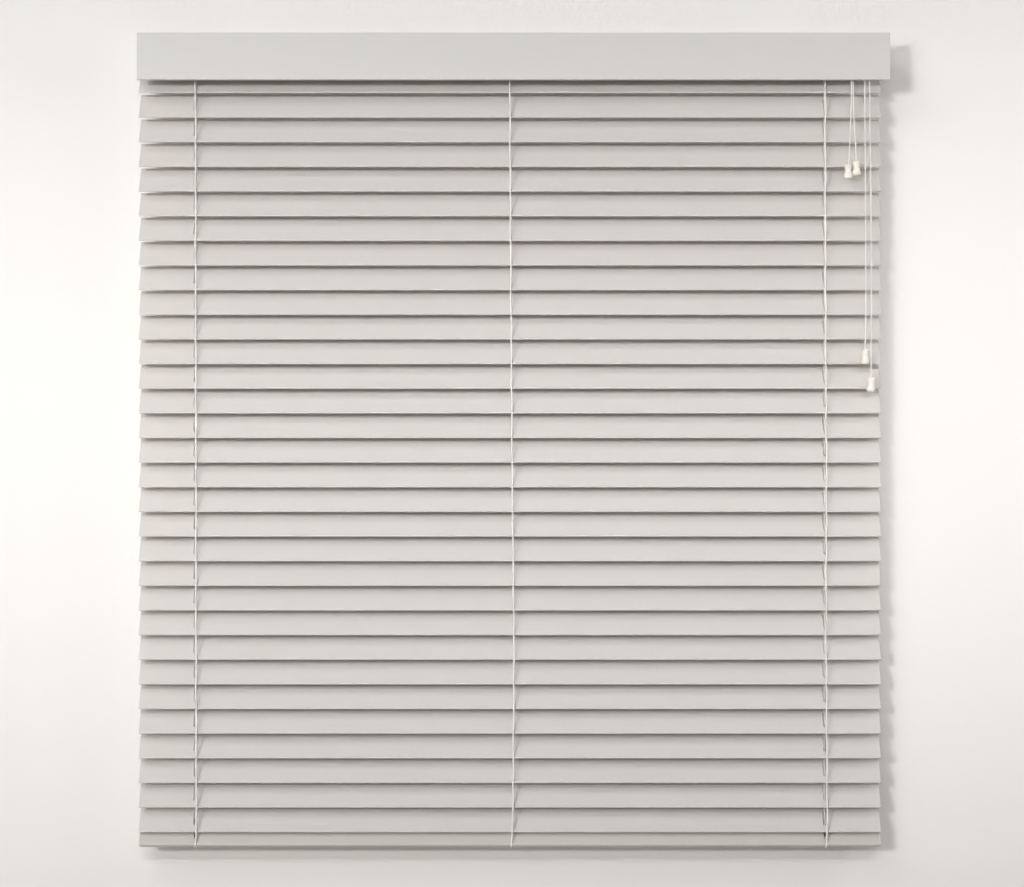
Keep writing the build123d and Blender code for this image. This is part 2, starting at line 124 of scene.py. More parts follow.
# Extruded rigid PVC: satin, with faint die lines along the length and a slight mottle in the sheen
def extrudedPvc(name, dark, light, lineMm=1.1, roughLow=0.40, roughHigh=0.52):
    made, tree, shader = newMaterial(name, 0.46, ior=1.53)
    place = addNode(tree, "ShaderNodeTexCoord").outputs["Object"]
    stretch = addNode(tree, "ShaderNodeMapping", {"Vector": place, "Scale": (0.02, 1.0, 1.0)})
    lines = noiseOf(tree, stretch.outputs[0], lineMm)
    mottle = noiseOf(tree, place, 60, 3.0)
    grain = noiseOf(tree, place, 0.7)
    both = addNode(tree, "ShaderNodeMath", {0: lines, 1: mottle}, operation="ADD")
    half = addNode(tree, "ShaderNodeMath", {0: both.outputs[0], 1: 0.5}, operation="MULTIPLY")
    toneBetween(tree, shader, half.outputs[0], dark, light)
    roughBetween(tree, shader, mottle, roughLow, roughHigh)
    relief = addNode(tree, "ShaderNodeMath", {0: lines, 1: grain}, operation="ADD")
    bumpFrom(tree, shader, relief.outputs[0], 0.00003, 0.35)
    return made


# Injection moulded plastic: spark-eroded grain and slight flow marks
def mouldedPlastic(name, dark, light, roughness, grainMm, relief, **sockets):
    made, tree, shader = newMaterial(name, roughness, ior=1.5, **sockets)
    place = addNode(tree, "ShaderNodeTexCoord").outputs["Object"]
    flow = noiseOf(tree, place, 9)
    grain = noiseOf(tree, place, grainMm)
    toneBetween(tree, shader, flow, dark, light)
    roughBetween(tree, shader, grain, roughness - 0.06, roughness + 0.06)
    bumpFrom(tree, shader, grain, relief, 0.5)
    return made


# Powder coated steel: smooth satin paint with a soft orange peel
def powderCoat(name, dark, light, peelMm=2.2):
    made, tree, shader = newMaterial(name, 0.36, ior=1.5)
    place = addNode(tree, "ShaderNodeTexCoord").outputs["Object"]
    peel = addNode(tree, "ShaderNodeTexVoronoi", {"Vector": place, "Scale": 1000 / peelMm}, feature="SMOOTH_F1")
    cloud = noiseOf(tree, place, 45)
    toneBetween(tree, shader, cloud, dark, light)
    roughBetween(tree, shader, cloud, 0.31, 0.41)
    bumpFrom(tree, shader, peel.outputs["Distance"], 0.00008, 0.3)
    return made


# Zinc plated steel: grey metal with a fine drawn grain along the rod and duller patches
def zincSteel(name, dark, light, grainMm=0.4):
    made, tree, shader = newMaterial(name, 0.34, metallic=1.0)
    place = addNode(tree, "ShaderNodeTexCoord").outputs["Object"]
    stretch = addNode(tree, "ShaderNodeMapping", {"Vector": place, "Scale": (0.03, 1.0, 1.0)})
    drawn = noiseOf(tree, stretch.outputs[0], grainMm, 3.0)
    patch = noiseOf(tree, place, 7, 3.0)
    toneBetween(tree, shader, patch, dark, light)
    roughBetween(tree, shader, patch, 0.26, 0.44)
    bumpFrom(tree, shader, drawn, 0.00002, 0.3)
    return made


# Braided polyester: two families of strands wind round the cord, read from its own around and along attributes; the
# grooves between the strands are painted darker as shade
def braidedCord(name, dark, light, strands, pitchMm, relief):
    made, tree, shader = newMaterial(name, 0.72, ior=1.46, Sheen_Weight=0.25, Sheen_Roughness=0.5)
    around = addNode(tree, "ShaderNodeAttribute", attribute_name="cordAround")
    along = addNode(tree, "ShaderNodeAttribute", attribute_name="cordAlong")
    turns = addNode(tree, "ShaderNodeMath", {0: along.outputs["Fac"], 1: 2 * math.pi * 1000 / pitchMm},
                    operation="MULTIPLY")
    waves = []
    for way in (1, -1):
        angle = addNode(tree, "ShaderNodeMath", {0: around.outputs["Fac"], 1: 2 * math.pi * strands * way},
                        operation="MULTIPLY")
        phase = addNode(tree, "ShaderNodeMath", {0: angle.outputs[0], 1: turns.outputs[0]}, operation="ADD")
        waves.append(addNode(tree, "ShaderNodeMath", {0: phase.outputs[0]}, operation="SINE"))
    weave = addNode(tree, "ShaderNodeMath", {0: waves[0].outputs[0], 1: waves[1].outputs[0]}, operation="MAXIMUM")
    strandCrestAndShade = addNode(tree, "ShaderNodeMapRange", {"Value": weave.outputs[0], "From Min": -0.4, "From Max": 1.0})
    # Painted shade: the colour is darker in the grooves between the strands and lighter on their crests, by the same
    # level as the relief
    toneBetween(tree, shader, strandCrestAndShade.outputs[0], dark, light)
    bumpFrom(tree, shader, strandCrestAndShade.outputs[0], relief, 0.8)
    return made


slatPvc = extrudedPvc("slatExtrudedPvc", "D4D0CB", "DAD6D2")
valancePvc = extrudedPvc("valanceExtrudedPvc", "CFCDCA", "D6D3D1", lineMm=1.6, roughLow=0.50, roughHigh=0.58)
railPvc = extrudedPvc("railExtrudedPvc", "CAC5BF", "D1CCC6")
capPlastic = mouldedPlastic("capMouldedPlastic", "D2CEC8", "DAD6D0", 0.42, 0.5, 0.00003)
workPlastic = mouldedPlastic("mechanismNylon", "E2DFD6", "EAE7DF", 0.45, 0.6, 0.00003)
gearPlastic = mouldedPlastic("gearAcetal", "E9E6DD", "F1EFE8", 0.32, 0.8, 0.00002)
clipPlastic = mouldedPlastic("clipPolypropylene", "E4E4E0", "ECECE8", 0.30, 0.7, 0.00002)
tasselPlastic = mouldedPlastic("tasselIvoryAbs", "F2EDE1", "F8F4EA", 0.24, 0.9, 0.00001, Coat_Weight=0.15)
headrailPaint = powderCoat("headrailPowderCoat", "DADAD8", "E3E3E1")
bracketPaint = powderCoat("bracketPowderCoat", "DEDEDB", "E7E7E4")
rodZinc = zincSteel("rodZincPlate", "9A9C9E", "B6B8BB")
pawlZinc = zincSteel("pawlZincPlate", "8F9193", "ACAEB1", 0.3)
ladderYarn = braidedCord("ladderBraidedPolyester", "E6E3DC", "F8F6F1", 3, 2.6, 0.00014)
cordYarn = braidedCord("cordBraidedPolyester", "E6E3DC", "F8F6F1", 4, 3.2, 0.00015)
print("materials made")

finishes = {
    "bottom_rail": railPvc, "rail_caps": capPlastic, "rail_plugs": capPlastic, "headrail": headrailPaint,
    "headrail_caps": workPlastic, "bracket_left": bracketPaint, "bracket_right": bracketPaint,
    "valance": valancePvc, "valance_clips": clipPlastic, "tilt_rod": rodZinc, "ladder_drums": workPlastic,
    "drum_cradles": workPlastic, "tilter_housing": workPlastic, "tilt_gear": gearPlastic, "tilt_worm": gearPlastic,
    "cord_lock_body": workPlastic, "cord_lock_pawl": pawlZinc,
}
slatNames = [f"slat_{i + 1:02d}" for i in range(blind["slatCount"])]
finishes.update({name: slatPvc for name in slatNames})
for name, finish in finishes.items():
    cad[name].data.materials.clear()
    cad[name].data.materials.append(finish)
print("solids dressed")


# A bare curve object with one NURBS route led by the given points
def routeCurve(name, points, fineness=12):
    data = bpy.data.curves.new(name, "CURVE")
    data.dimensions = "3D"
    data.resolution_u = fineness
    spline = data.splines.new("NURBS")
    spline.points.add(len(points) - 1)
    for point, place in zip(spline.points, points):
        point.co = (*place, 1.0)
    spline.order_u = 3
    spline.use_endpoint_u = True
    made = bpy.data.objects.new(name, data)
    scene.collection.objects.link(made)
    return made


def routePoints(route):
    bpy.context.view_layer.update()
    shown = route.evaluated_get(bpy.context.evaluated_depsgraph_get())
    mesh = bpy.data.meshes.new_from_object(shown)
    places = [v.co.copy() for v in mesh.vertices]
    bpy.data.meshes.remove(mesh)
    return places


# Node tree that sweeps a round section along a route and keeps where each point is along and around the cord
def cordTree():
    tree = bpy.data.node_groups.new("cordSweep", "GeometryNodeTree")
    tree.interface.new_socket("Route", in_out="INPUT", socket_type="NodeSocketGeometry")
    tree.interface.new_socket("Radius", in_out="INPUT", socket_type="NodeSocketFloat")
    tree.interface.new_socket("Step", in_out="INPUT", socket_type="NodeSocketFloat")
    tree.interface.new_socket("Sides", in_out="INPUT", socket_type="NodeSocketInt")
    tree.interface.new_socket("Finish", in_out="INPUT", socket_type="NodeSocketMaterial")
    tree.interface.new_socket("Cord", in_out="OUTPUT", socket_type="NodeSocketGeometry")
    given = addNode(tree, "NodeGroupInput")
    even = addNode(tree, "GeometryNodeResampleCurve",
                   {"Curve": given.outputs["Route"], "Length": given.outputs["Step"]}, mode="LENGTH")
    place = addNode(tree, "GeometryNodeSplineParameter")
    alongRoute = addNode(tree, "GeometryNodeStoreNamedAttribute",
                         {"Geometry": even.outputs[0], "Name": "cordAlong", "Value": place.outputs["Length"]},
                         data_type="FLOAT", domain="POINT")
    ring = addNode(tree, "GeometryNodeCurvePrimitiveCircle",
                   {"Resolution": given.outputs["Sides"], "Radius": given.outputs["Radius"]})
    turn = addNode(tree, "GeometryNodeSplineParameter")
    aroundRing = addNode(tree, "GeometryNodeStoreNamedAttribute",
                         {"Geometry": ring.outputs[0], "Name": "cordAround", "Value": turn.outputs["Factor"]},
                         data_type="FLOAT", domain="POINT")
    swept = addNode(tree, "GeometryNodeCurveToMesh", {"Curve": alongRoute.outputs[0],
                                                      "Profile Curve": aroundRing.outputs[0], "Fill Caps": True})
    smooth = addNode(tree, "GeometryNodeSetShadeSmooth", {"Geometry": swept.outputs[0]})
    whole = addNode(tree, "GeometryNodeRealizeInstances", {"Geometry": smooth.outputs[0]})
    dressed = addNode(tree, "GeometryNodeSetMaterial",
                      {"Geometry": whole.outputs[0], "Material": given.outputs["Finish"]})
    addNode(tree, "NodeGroupOutput", {"Cord": dressed.outputs[0]})
    return tree


# The tree's result as a plain mesh object
def grown(holder, tree, name, **values):
    modifier = holder.modifiers.new("grow", "NODES")
    modifier.node_group = tree
    sockets = {s.name: s.identifier for s in tree.interface.items_tree if s.in_out == "INPUT"}
    for key, value in values.items():
        modifier[sockets[key]] = value
    bpy.context.view_layer.update()
    shown = holder.evaluated_get(bpy.context.evaluated_depsgraph_get())
    mesh = bpy.data.meshes.new_from_object(shown)
    holder.modifiers.remove(modifier)
    mesh.name = name
    made = bpy.data.objects.new(name, mesh)
    scene.collection.objects.link(made)
    return made


def dropRoute(route):
    data = route.data
    bpy.data.objects.remove(route)
    bpy.data.curves.remove(data)


def joined(name, parts):
    bpy.ops.object.select_all(action="DESELECT")
    for part in parts:
        part.select_set(True)
    bpy.context.view_layer.objects.active = parts[0]
    bpy.ops.object.join()
    parts[0].name = name
    parts[0].data.name = name
    return parts[0]


cordSweep = cordTree()

# Camera: far off and level with the middle of the blind, as the photograph was taken
cameraSet = {"distance": 4.5, "x": 0.0035, "z": -0.655, "lens": 98.3, "sensor": 36.0, "farthest": 100.0}
cameraData = bpy.data.cameras.new("camera")
cameraData.sensor_fit = "HORIZONTAL"
cameraData.sensor_width = cameraSet["sensor"]
cameraData.lens = cameraSet["lens"]
cameraData.clip_end = cameraSet["farthest"]
camera = bpy.data.objects.new("camera", cameraData)
camera.location = (cameraSet["x"], -cameraSet["distance"], cameraSet["z"])
camera.rotation_euler = (math.pi / 2, 0, 0)
scene.collection.objects.link(camera)
scene.camera = camera

# Free cords: each leaves its nose, hangs to its tassel, passes through it and ends in a knot in the recess
pullSet = {
    "radius": 0.001,
    "plane": -0.0325,
    "exitZ": -0.0458,
    "step": 0.0011,
    "sides": 12,
    "knotDrop": 0.00198,
    "knotLoop": 0.00132,
    "knotStrand": 0.00085,
    "knotStep": 0.0004,
}
# Routes as x and z: the exit, straight out of it, down with the slight set of the photograph, the tassel's top
pulls = (
    ("tilt_cord_left", "tilt_tassel_left",
     ((0.5439, -0.0458), (0.5447, -0.058), (0.5462, -0.079), (0.5449, -0.134), (0.5424, -0.195), (0.5406, -0.209))),
    ("tilt_cord_right", "tilt_tassel_right",
     ((0.5479, -0.0458), (0.5482, -0.058), (0.5488, -0.095), (0.5499, -0.137), (0.5531, -0.190), (0.5536, -0.204))),
    ("lift_pull_left", "lift_tassel_left",
     ((0.5667, -0.0458), (0.5670, -0.058), (0.5675, -0.150), (0.5684, -0.255), (0.5686, -0.340), (0.5689, -0.435),
      (0.5680, -0.4935), (0.5678, -0.5055))),
    ("lift_pull_right", "lift_tassel_right",
     ((0.5734, -0.0458), (0.5741, -0.058), (0.5752, -0.088), (0.5755, -0.150), (0.5766, -0.215), (0.5773, -0.310),
      (0.5779, -0.425), (0.5772, -0.5376), (0.5770, -0.5496))),
)


# Overhand knot: a short route that winds once round itself
def knotPoints(centre, radius):
    points = []
    for i in range(15):
        angle = 2 * math.pi * i / 14
        x = math.sin(angle) + 2 * math.sin(2 * angle)
        y = math.cos(angle) - 2 * math.cos(2 * angle)
        points.append(centre + Vector((x, y, -math.sin(3 * angle))) * radius / 3)
    return points


def lathe(name, profile, turns, finish):
    mesh = bpy.data.meshes.new(name)
    count = len(profile)
    verts = [(r * math.cos(2 * math.pi * k / turns), r * math.sin(2 * math.pi * k / turns), z)
             for k in range(turns) for r, z in profile]
    faces = [(k * count + i, (k + 1) % turns * count + i, (k + 1) % turns * count + i + 1, k * count + i + 1)
             for k in range(turns) for i in range(count - 1)]
    mesh.from_pydata(verts, [], faces)
    mesh.materials.append(finish)
    mesh.shade_smooth()
    made = bpy.data.objects.new(name, mesh)
    scene.collection.objects.link(made)
    return made


# Turned tassel: rounded crown, waist, full bulge above the foot, and a recess that hides the knot
tasselSet = {
    "height": 0.023,
    "bore": 0.0013,
    "recess": 0.0029,
    "recessDepth": 0.006,
    "edge": 0.0004,
    "fineness": 5,
    "turns": 40,
    "sideShares": ((0.0020, 0), (0.0049, 0), (0.0061, 0.04), (0.0061, 0.13), (0.0051, 0.28), (0.0049, 0.42),
                   (0.0053, 0.56), (0.0068, 0.69), (0.0072, 0.80), (0.0066, 0.93), (0.0045, 1), (0.0033, 1)),
}


# The outer side, led by radii at shares of the height, is read from a smooth spline, so the shape has no flats
def tasselProfile():
    height, recess, bore, edge = (tasselSet[key] for key in ("height", "recess", "bore", "edge"))
    roof = tasselSet["recessDepth"] - height
    places = [(radius, 0, -share * height) for radius, share in tasselSet["sideShares"]]
    route = routeCurve("tasselSide", places, tasselSet["fineness"])
    outer = [(p.x, p.z) for p in routePoints(route)]
    dropRoute(route)
    inner = [(recess, edge - height), (recess, roof), (bore, roof + edge), (bore, -edge)]
    return outer + inner + [outer[0]]


for cordName, tasselName, places in pulls:
    points = [Vector((x, pullSet["plane"], z)) for x, z in places]
    start, top = points[0], points[-1]
    lean = (top - start).normalized()
    knot = top + lean * (tasselSet["height"] - tasselSet["recessDepth"] + pullSet["knotDrop"])
    route = routeCurve(cordName + "Route", points + [knot])
    line = routePoints(route)
    tube = grown(route, cordSweep, cordName + "_braid", Radius=pullSet["radius"], Step=pullSet["step"],
                 Sides=pullSet["sides"], Finish=cordYarn)
    dropRoute(route)
    knotRoute = routeCurve(cordName + "Knot", knotPoints(knot, pullSet["knotLoop"]))
    knotted = grown(knotRoute, cordSweep, cordName + "_knot", Radius=pullSet["knotStrand"], Step=pullSet["knotStep"],
                    Sides=pullSet["sides"], Finish=cordYarn)
    dropRoute(knotRoute)
    bell = lathe(tasselName + "_bell", tasselProfile(), tasselSet["turns"], tasselPlastic)
    bell.data.transform(Matrix.Translation(top) @ lean.to_track_quat("-Z", "Y").to_matrix().to_4x4())
    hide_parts(cordName)
    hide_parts(tasselName)
    if cordName.startswith("tilt"):
        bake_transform(tube)
        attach(knotted, tasselName)
        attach(bell, tasselName)
    else:
        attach(tube, rootBody)
        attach(knotted, rootBody)
        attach(bell, rootBody)
print("pull cords and tassels made")

# Lift cords: knotted in the bottom rail, up through the slots, along the headrail and into the cord lock
liftSet = {
    "radius": 0.001,
    "step": 0.004,
    "sides": 10,
    "runZ": -0.041,
    "lead": 0.012,
    "pastDrum": 0.0095,
    "turn": 0.0275,
    "knotLoop": 0.0011,
    "knotStrand": 0.0008,
    "knotStep": 0.0005,
    "knotSides": 8,
}
liftRoutes = (("lift_cord_left", -0.506, 0.019, 0.5734), ("lift_cord_right", 0.506, 0.014, 0.5667))
for cordName, x, runY, exitX in liftRoutes:
    z, lead = liftSet["runZ"], liftSet["lead"]
    front, drop = pullSet["plane"], pullSet["exitZ"]
    foot = -blind["railDrop"]
    turnX = x + liftSet["turn"]
    route = routeCurve(cordName + "Route", [
        (x, 0, foot), (x, 0, foot + lead), (x, 0, z - lead), (x, 0, z), (x + liftSet["pastDrum"], 0, z),
        (turnX, runY, z), (turnX + lead, runY, z), (exitX - lead, runY, z), (exitX, runY, z), (exitX, runY - lead, z),
        (exitX, front - (drop - z), z), (exitX, front, z), (exitX, front, drop)])
    tube = grown(route, cordSweep, cordName + "_braid", Radius=liftSet["radius"], Step=liftSet["step"],
                 Sides=liftSet["sides"], Finish=cordYarn)
    dropRoute(route)
    knotRoute = routeCurve(cordName + "Knot", knotPoints(Vector((x, 0, foot)), liftSet["knotLoop"]))
    knotted = grown(knotRoute, cordSweep, cordName + "_knot", Radius=liftSet["knotStrand"], Step=liftSet["knotStep"],
                    Sides=liftSet["knotSides"], Finish=cordYarn)
    dropRoute(knotRoute)
    whole = joined(cordName + "_braid", [tube, knotted])
    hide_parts(cordName)
    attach(whole, rootBody)
print("lift cords made")

# Ladder strings: held at every slat, with a slight slack between the slats and the drift that the photograph shows
stringSet = {
    "radius": 0.0014,
    "step": 0.0025,
    "sides": 10,
    "slack": 0.0008,
    "zigzag": 0.0003,
    "topClear": 0.006,
    "footClear": 0.004,
    "footDriftShare": 0.6,
    "drift": ((0.0022, 0.0024, 0.0030, 0.0030, 0.0038), (0.0000, 0.0016, 0.0036, 0.0068, 0.0048),
              (-0.0004, 0.0000, 0.0014, 0.0010, 0.0030)),
}
sinTilt, cosTilt = math.sin(blind["tilt"]), math.cos(blind["tilt"])
lastSlat = blind["slatCount"] - 1


def stringY(side):
    return side * (blind["edgeReach"] * cosTilt + blind["stringOffset"])


def stringFoot(side):
    return -blind["railDrop"] + side * blind["edgeReach"] * sinTilt + blind["stringFootRise"]


def slatZ(i):
    return -blind["firstDrop"] - i * blind["slatPitch"]


# How far to the side a ladder's strings hang at a slat, from five values down the blind
def driftAt(ladder, i):
    values = stringSet["drift"][ladder]
    place = min(max(i, 0), lastSlat) / lastSlat * (len(values) - 1)
    low = min(int(place), len(values) - 2)
    return values[low] + (values[low + 1] - values[low]) * (place - low)


def footDrift(ladder):
    return stringSet["footDriftShare"] * driftAt(ladder, lastSlat)


for side, body in ((-1, "ladder_front"), (1, "ladder_back")):
    parts = []
    for ladder, x in enumerate(blind["ladderXs"]):
        points = [(x, stringY(side), blind["stringTop"])]
        for i in range(blind["slatCount"]):
            hold = slatZ(i) + side * blind["edgeReach"] * sinTilt
            wander = stringSet["slack"] * math.sin(2.1 * i + 1.7 * ladder + side)
            if hold < blind["stringTop"] - stringSet["topClear"]:
                zigzag = stringSet["zigzag"] if i % 2 else -stringSet["zigzag"]
                points.append((x + driftAt(ladder, i) + zigzag, stringY(side), hold))
            between = hold - 0.5 * blind["slatPitch"]
            if between > stringFoot(side) + stringSet["footClear"]:
                points.append((x + driftAt(ladder, i + 0.5) + wander, stringY(side), between))
        points.append((x + footDrift(ladder), stringY(side), stringFoot(side)))
        route = routeCurve("stringRoute", points)
        parts.append(grown(route, cordSweep, "string", Radius=stringSet["radius"], Step=stringSet["step"],
                           Sides=stringSet["sides"], Finish=ladderYarn))
        dropRoute(route)
    strings = joined(body + "_strings", parts)
    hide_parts(body)
    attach(strings, body)

# Inside the headrail each ladder's two strings meet over the top of its drum: half of that route as y and z
overHalf = ((stringY(1), blind["stringTop"]), (0.00985, -0.0243), (0.0057, -0.0136))
parts = []
for x in blind["ladderXs"]:
    route = routeCurve("overRoute", [(x, -y, z) for y, z in overHalf] + [(x, y, z) for y, z in reversed(overHalf)])
    parts.append(grown(route, cordSweep, "over", Radius=stringSet["radius"], Step=stringSet["step"] / 2,
                       Sides=stringSet["sides"], Finish=ladderYarn))
    dropRoute(route)
overs = joined("ladder_tops", parts)
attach(overs, rootBody)
print("ladder strings made")

# Cross cords: one under each slat on each ladder, by turns left and right of the lift cord, wrapped round both edges
rungSet = {"radius": 0.0006, "step": 0.0018, "sides": 6, "stagger": 0.0018, "underEdge": 0.002, "overEdge": 0.0012}


# Node tree that makes one slat's row of cross cords: swept, set on the ladders, drawn to the strings, tilted, dropped
def rungTree():
    tree = bpy.data.node_groups.new("rungRow", "GeometryNodeTree")
    for name, kind in (("Ladders", "Geometry"), ("Route", "Object"), ("Radius", "Float"), ("Step", "Float"),
                       ("Sides", "Int"), ("Reach", "Float"), ("Place", "Vector"), ("Tilt", "Vector"),
                       ("Finish", "Material")):
        tree.interface.new_socket(name, in_out="INPUT", socket_type="NodeSocket" + kind)
    tree.interface.new_socket("Row", in_out="OUTPUT", socket_type="NodeSocketGeometry")
    given = addNode(tree, "NodeGroupInput").outputs
    route = addNode(tree, "GeometryNodeObjectInfo", {"Object": given["Route"]})
    swept = addNode(tree, "GeometryNodeGroup",
                    {"Route": route.outputs["Geometry"], "Radius": given["Radius"], "Step": given["Step"],
                     "Sides": given["Sides"], "Finish": given["Finish"]}, node_tree=cordSweep)
    row = addNode(tree, "GeometryNodeInstanceOnPoints", {"Points": given["Ladders"], "Instance": swept.outputs[0]})
    loose = addNode(tree, "GeometryNodeRealizeInstances", {"Geometry": row.outputs[0]})
    place = addNode(tree, "GeometryNodeInputPosition")
    parts = addNode(tree, "ShaderNodeSeparateXYZ", {0: place.outputs[0]})
    across = addNode(tree, "ShaderNodeMath", {0: parts.outputs["Y"], 1: given["Reach"]}, operation="DIVIDE")
    outward = addNode(tree, "ShaderNodeMath", {0: across.outputs[0]}, operation="ABSOLUTE", use_clamp=True)
    drift = addNode(tree, "GeometryNodeInputNamedAttribute", {"Name": "drift"}, data_type="FLOAT")
    drawn = addNode(tree, "ShaderNodeMath", {0: outward.outputs[0], 1: drift.outputs[0]}, operation="MULTIPLY")
    aside = addNode(tree, "ShaderNodeCombineXYZ", {"X": drawn.outputs[0]})
    met = addNode(tree, "GeometryNodeSetPosition", {"Geometry": loose.outputs[0], "Offset": aside.outputs[0]})
    placed = addNode(tree, "GeometryNodeTransform",
                     {"Geometry": met.outputs[0], "Translation": given["Place"], "Rotation": given["Tilt"]})
    whole = addNode(tree, "GeometryNodeRealizeInstances", {"Geometry": placed.outputs[0]})
    dressed = addNode(tree, "GeometryNodeSetMaterial", {"Geometry": whole.outputs[0], "Material": given["Finish"]})
    addNode(tree, "NodeGroupOutput", {"Row": dressed.outputs[0]})
    return tree


# Half of the cross cord as y and z: under the slat, out past its edge, up and back over it
reach, lift = blind["edgeReach"], blind["slatThick"] / 2 + rungSet["radius"]
rungHalf = ((0.4 * reach, -lift), (reach - rungSet["underEdge"], -lift), (reach + 0.9 * lift, -lift),
            (reach + 1.1 * lift, 0), (reach + 0.9 * lift, lift), (reach - rungSet["overEdge"], lift))
rungRoute = routeCurve("rungRoute", [(0, -y, z) for y, z in reversed(rungHalf)] + [(0, y, z) for y, z in rungHalf])
rungRow = rungTree()
for i, name in enumerate(slatNames):
    stagger = -rungSet["stagger"] if i % 2 else rungSet["stagger"]
    spots = bpy.data.meshes.new("ladderSpots")
    spots.from_pydata([(x + stagger, 0, 0) for x in blind["ladderXs"]], [], [])
    drifts = spots.attributes.new("drift", "FLOAT", "POINT")
    for ladder, value in enumerate(drifts.data):
        value.value = driftAt(ladder, i) - stagger
    holder = bpy.data.objects.new("ladderSpots", spots)
    scene.collection.objects.link(holder)
    row = grown(holder, rungRow, f"rungs_{i + 1:02d}", Route=rungRoute, Radius=rungSet["radius"],
                Step=rungSet["step"], Sides=rungSet["sides"], Reach=reach, Place=(0, 0, slatZ(i)),
                Tilt=(blind["tilt"], 0, 0), Finish=ladderYarn)
    bpy.data.objects.remove(holder)
    bpy.data.meshes.remove(spots)
    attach(row, name)
dropRoute(rungRoute)
print("cross cords made")

# Ladder ends: each string goes on from the ladder, round the rail's edge and under it to the plug
endSet = {
    "radius": 0.0013,
    "step": 0.0008,
    "sides": 8,
    "gap": 0.0001,
    "drop": 0.003,
    "edgeIn": 0.0002,
    "edgeRise": 0.0008,
    "underIn": 0.005,
    "underMiddle": 0.014,
    "plug": 0.0070,
}
railPlace = Matrix.Translation((0, 0, -blind["railDrop"])) @ Matrix.Rotation(blind["tilt"], 4, "X")
half, thick = blind["railHalf"], blind["railThick"] / 2
lift = endSet["radius"] + endSet["gap"]
for side, body in ((-1, "ladder_front"), (1, "ladder_back")):
    parts = []
    for ladder, x in enumerate(blind["ladderXs"]):
        aside = footDrift(ladder)
        top = Vector((x + aside, stringY(side), stringFoot(side)))
        edge = [(x + 0.9 * aside, side * (half - endSet["edgeIn"]), thick + lift * 0.2),
                (x + 0.8 * aside, side * (half + lift), endSet["edgeRise"]),
                (x + 0.7 * aside, side * (half + lift * 0.6), -thick),
                (x + 0.5 * aside, side * (half - endSet["underIn"]), -thick - lift),
                (x, side * endSet["underMiddle"], -thick - lift),
                (x, side * endSet["plug"], -thick - lift)]
        points = [top, top - Vector((0, 0, endSet["drop"]))] + [railPlace @ Vector(p) for p in edge]
        route = routeCurve("endRoute", points)
        parts.append(grown(route, cordSweep, "end", Radius=endSet["radius"], Step=endSet["step"],
                           Sides=endSet["sides"], Finish=ladderYarn))
        dropRoute(route)
    ends = joined(body + "_ends", parts)
    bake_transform(ends)
print("ladder ends made")

# Worm thread: four starts wound on the plain barrel of the solid, in step with the sixteen teeth of the gear above it
threadSet = {
    "axisX": 0.5459,
    "axisZ": -0.036,
    "front": -0.0235,
    "back": 0.0080,
    "lead": 0.01335,
    "starts": 4,
    "centreRadius": 0.00465,
    "ridgeRadius": 0.00085,
    "ridgeSides": 8,
    "phase": math.radians(41.3),
    "stepsPerTurn": 36,
}


# Node tree: one ridge on a spiral, repeated round the axis for each start and laid along the worm
def threadTree():
    tree = bpy.data.node_groups.new("wormThread", "GeometryNodeTree")
    for name, kind in (("Steps", "Int"), ("Turns", "Float"), ("Length", "Float"), ("Winding Radius", "Float"),
                       ("Ridge Radius", "Float"), ("Starts", "Int"), ("Phase", "Float"), ("Place", "Vector"),
                       ("Finish", "Material")):
        tree.interface.new_socket(name, in_out="INPUT", socket_type="NodeSocket" + kind)
    tree.interface.new_socket("Thread", in_out="OUTPUT", socket_type="NodeSocketGeometry")
    given = addNode(tree, "NodeGroupInput").outputs
    spiral = addNode(tree, "GeometryNodeCurveSpiral",
                     {"Resolution": given["Steps"], "Rotations": given["Turns"], "Height": given["Length"],
                      "Start Radius": given["Winding Radius"], "End Radius": given["Winding Radius"]})
    section = addNode(tree, "GeometryNodeCurvePrimitiveCircle",
                      {"Resolution": threadSet["ridgeSides"], "Radius": given["Ridge Radius"]})
    ridge = addNode(tree, "GeometryNodeCurveToMesh",
                    {"Curve": spiral.outputs[0], "Profile Curve": section.outputs[0], "Fill Caps": True})
    smooth = addNode(tree, "GeometryNodeSetShadeSmooth", {"Geometry": ridge.outputs[0]})
    spots = addNode(tree, "GeometryNodeMeshLine", {"Count": given["Starts"], "Offset": (0, 0, 0)})
    number = addNode(tree, "GeometryNodeInputIndex")
    share = addNode(tree, "ShaderNodeMath", {0: 2 * math.pi, 1: given["Starts"]}, operation="DIVIDE")
    angle = addNode(tree, "ShaderNodeMath", {0: number.outputs[0], 1: share.outputs[0], 2: given["Phase"]},
                    operation="MULTIPLY_ADD")
    turn = addNode(tree, "ShaderNodeCombineXYZ", {"Z": angle.outputs[0]})
    starts = addNode(tree, "GeometryNodeInstanceOnPoints",
                     {"Points": spots.outputs[0], "Instance": smooth.outputs[0], "Rotation": turn.outputs[0]})
    laid = addNode(tree, "GeometryNodeTransform", {"Geometry": starts.outputs[0], "Translation": given["Place"],
                                                   "Rotation": (-math.pi / 2, 0, 0)})
    whole = addNode(tree, "GeometryNodeRealizeInstances", {"Geometry": laid.outputs[0]})
    dressed = addNode(tree, "GeometryNodeSetMaterial", {"Geometry": whole.outputs[0], "Material": given["Finish"]})
    addNode(tree, "NodeGroupOutput", {"Thread": dressed.outputs[0]})
    return tree


